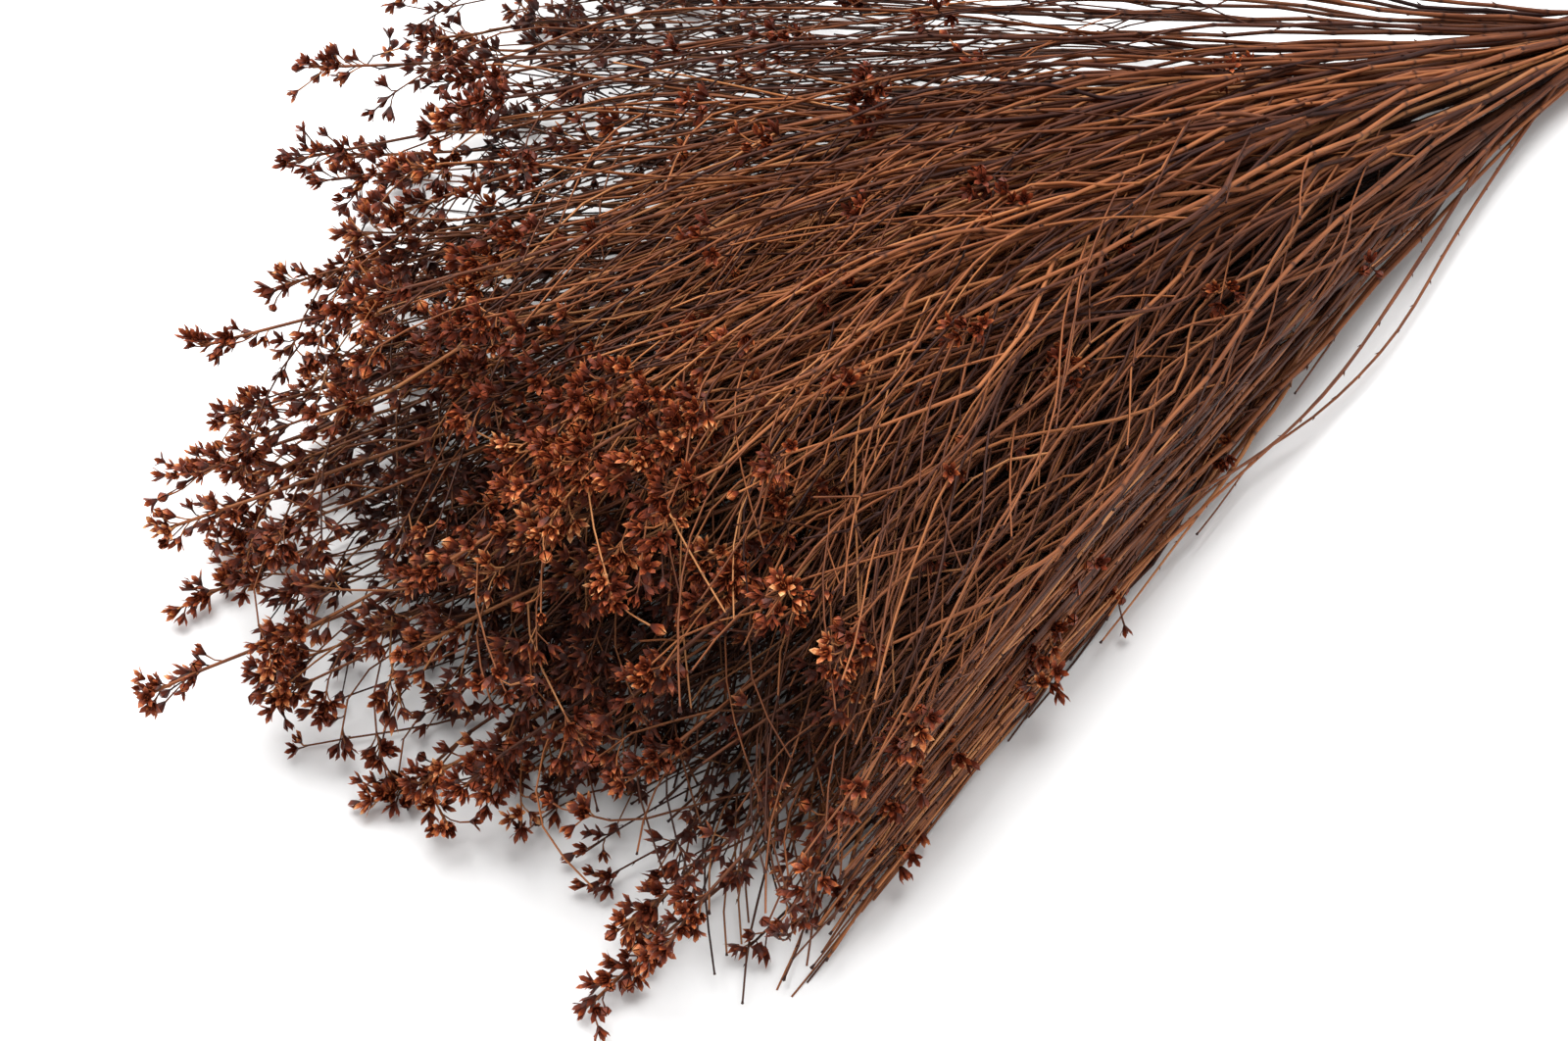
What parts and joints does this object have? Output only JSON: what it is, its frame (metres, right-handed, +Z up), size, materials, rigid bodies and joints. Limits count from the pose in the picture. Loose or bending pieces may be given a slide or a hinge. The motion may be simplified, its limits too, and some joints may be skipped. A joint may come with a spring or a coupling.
{
  "type": "dried broom bloom bunch",
  "caption": "Fan-shaped bunch of dried broom bloom: wiry brown stems held by an elastic band, forking into thin twigs with tiny copper blooms.",
  "frame": {"origin": "on the table under the middle of the bunch's bounding box", "axes": "+Z up from the table, +X along the bunch from the blooms to the cut ends, +Y across it"},
  "size_m": [0.5938, 0.3782, 0.0985],
  "materials": {
    "dried_stem": "matt wiry bark, copper brown with dark joints and paler streaks",
    "dried_bloom": "dry chaffy petals, dark red brown at the base and glossy copper at the tips",
    "band": "soft matt elastic, faintly ribbed"
  },
  "bodies": {
    "root": {"spray_01": "dried_stem", "spray_02": "dried_stem", "spray_03": "dried_stem", "spray_04": "dried_stem", "spray_05": "dried_stem", "spray_06": "dried_stem", "spray_07": "dried_stem", "spray_08": "dried_stem", "spray_09": "dried_stem", "spray_10": "dried_stem", "spray_11": "dried_stem", "spray_12": "dried_stem", "spray_13": "dried_stem", "spray_14": "dried_stem", "spray_15": "dried_stem", "spray_16": "dried_stem", "spray_17": "dried_stem", "spray_18": "dried_stem", "spray_19": "dried_stem", "spray_20": "dried_stem", "spray_21": "dried_stem", "spray_22": "dried_stem", "spray_23": "dried_stem", "spray_24": "dried_stem", "spray_25": "dried_stem", "spray_26": "dried_stem", "spray_27": "dried_stem", "spray_28": "dried_stem", "spray_29": "dried_stem", "spray_30": "dried_stem", "spray_31": "dried_stem", "spray_32": "dried_stem", "spray_33": "dried_stem", "spray_34": "dried_stem", "spray_35": "dried_stem", "spray_36": "dried_stem", "spray_37": "dried_stem", "spray_38": "dried_stem", "spray_39": "dried_stem", "spray_40": "dried_stem", "spray_41": "dried_stem", "spray_42": "dried_stem", "elastic_band": "band"}
  },
  "joints": []
}
